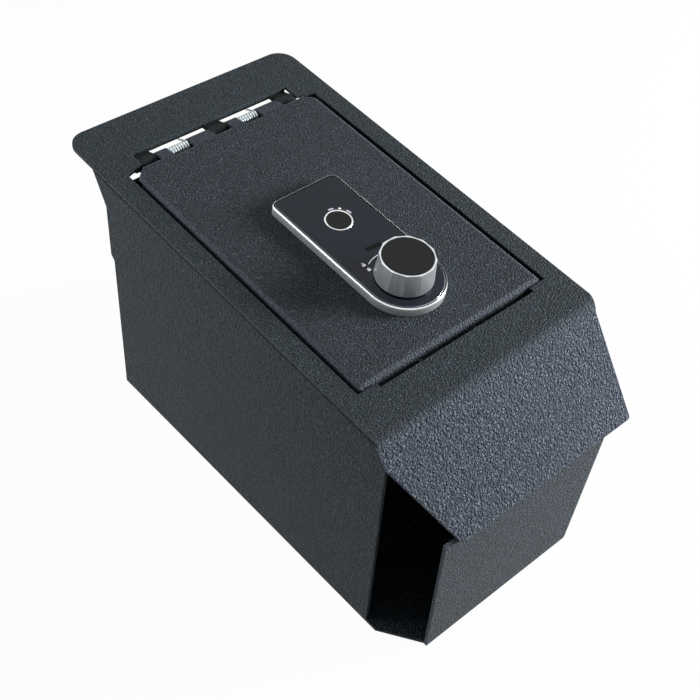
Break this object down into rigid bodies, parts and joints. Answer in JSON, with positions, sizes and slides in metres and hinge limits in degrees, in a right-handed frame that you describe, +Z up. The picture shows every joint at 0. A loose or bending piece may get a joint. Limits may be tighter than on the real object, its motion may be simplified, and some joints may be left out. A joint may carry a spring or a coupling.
{
  "type": "console safe",
  "caption": "Folded steel safe for a vehicle's centre console, with a sloping deck and flap, a knuckle-hinged lid and a fingerprint lock with a turning knob.",
  "frame": {"origin": "middle of the overall footprint, at the floor plate's underside, where the safe stands", "axes": "+Z up, +X to the right along the lid's hinge, -Y towards the front with the sloping flap"},
  "size_m": [0.165, 0.317, 0.1792],
  "materials": {
    "coated_steel": "powder coat with an orange-peel grain",
    "zinc_steel": "bright zinc plate",
    "bright_chrome": "polished",
    "dark_glass": "gloss",
    "black_plastic": "fine matt",
    "black_rubber": "matt",
    "black_foam": "matt",
    "brass": "turned",
    "board_green": "satin",
    "cell_wrap": "satin",
    "light_lens": "clear"
  },
  "bodies": {
    "safe_body": {"top_sheet": "coated_steel", "left_wall": "coated_steel", "right_wall": "coated_steel", "rear_wall": "coated_steel", "front_wall": "coated_steel", "floor_plate": "coated_steel", "mounting_hole_plug_1": "black_rubber", "mounting_hole_plug_2": "black_rubber", "mounting_hole_plug_3": "black_rubber", "mounting_hole_plug_4": "black_rubber", "floor_mat": "black_foam", "hinge_leaf": "coated_steel", "hinge_pin": "zinc_steel", "torsion_spring_left": "zinc_steel", "torsion_spring_right": "zinc_steel", "left_ledge": "coated_steel", "right_ledge": "coated_steel", "lid_bumper_1": "black_rubber", "lid_bumper_2": "black_rubber", "lid_bumper_3": "black_rubber", "lid_bumper_4": "black_rubber", "strike_bar": "zinc_steel"},
    "lid": {"lid_pan": "coated_steel", "panel_bezel": "bright_chrome", "panel_glass": "dark_glass", "power_port_cover": "black_rubber", "status_light": "light_lens", "sensor_ring": "bright_chrome", "fingerprint_sensor": "dark_glass", "spindle_bush": "brass", "lock_cover": "black_plastic", "battery_door": "black_plastic", "battery_holder": "black_plastic", "battery_cell_1": "cell_wrap", "battery_cell_2": "cell_wrap", "battery_cell_3": "cell_wrap", "battery_cell_4": "cell_wrap", "circuit_board": "board_green", "lock_motor": "zinc_steel", "bolt_guide_left": "zinc_steel", "bolt_guide_right": "zinc_steel", "guide_screw_1": "zinc_steel", "guide_screw_2": "zinc_steel", "guide_screw_3": "zinc_steel", "guide_screw_4": "zinc_steel", "cover_screw_1": "zinc_steel", "cover_screw_2": "zinc_steel", "cover_screw_3": "zinc_steel", "cover_screw_4": "zinc_steel", "board_screw_1": "brass", "board_screw_2": "brass", "board_screw_3": "brass", "board_screw_4": "brass"},
    "knob": {"knob": "bright_chrome", "knob_cap": "black_plastic", "key_cylinder": "brass", "knob_spindle": "zinc_steel", "crank": "zinc_steel"},
    "bolt": {"bolt_plate": "zinc_steel"}
  },
  "joints": [
    {"name": "lid_hinge", "type": "hinge", "parent": "safe_body", "child": "lid", "pos_m": [0, 0.1186, 0.16295], "axis": [-1, 0, 0], "range_deg": [0, 100], "stiffness_Nm_per_rad": 0.15, "springref_deg": 68.75, "deforming": ["torsion_spring_left", "torsion_spring_right"]},
    {"name": "knob_turn", "type": "hinge", "parent": "lid", "child": "knob", "pos_m": [0, -0.04427, 0.15521], "axis": [0, 0.0732, -0.9973], "range_deg": [0, 90]},
    {"name": "bolt_slide", "type": "slide", "parent": "lid", "child": "bolt", "axis": [0, -0.9973, -0.0732], "range_m": [0, 0.01]}
  ],
  "couplings": [
    {"joint": "bolt_slide", "follows": "knob_turn", "m_per_rad": 0.006366}
  ]
}
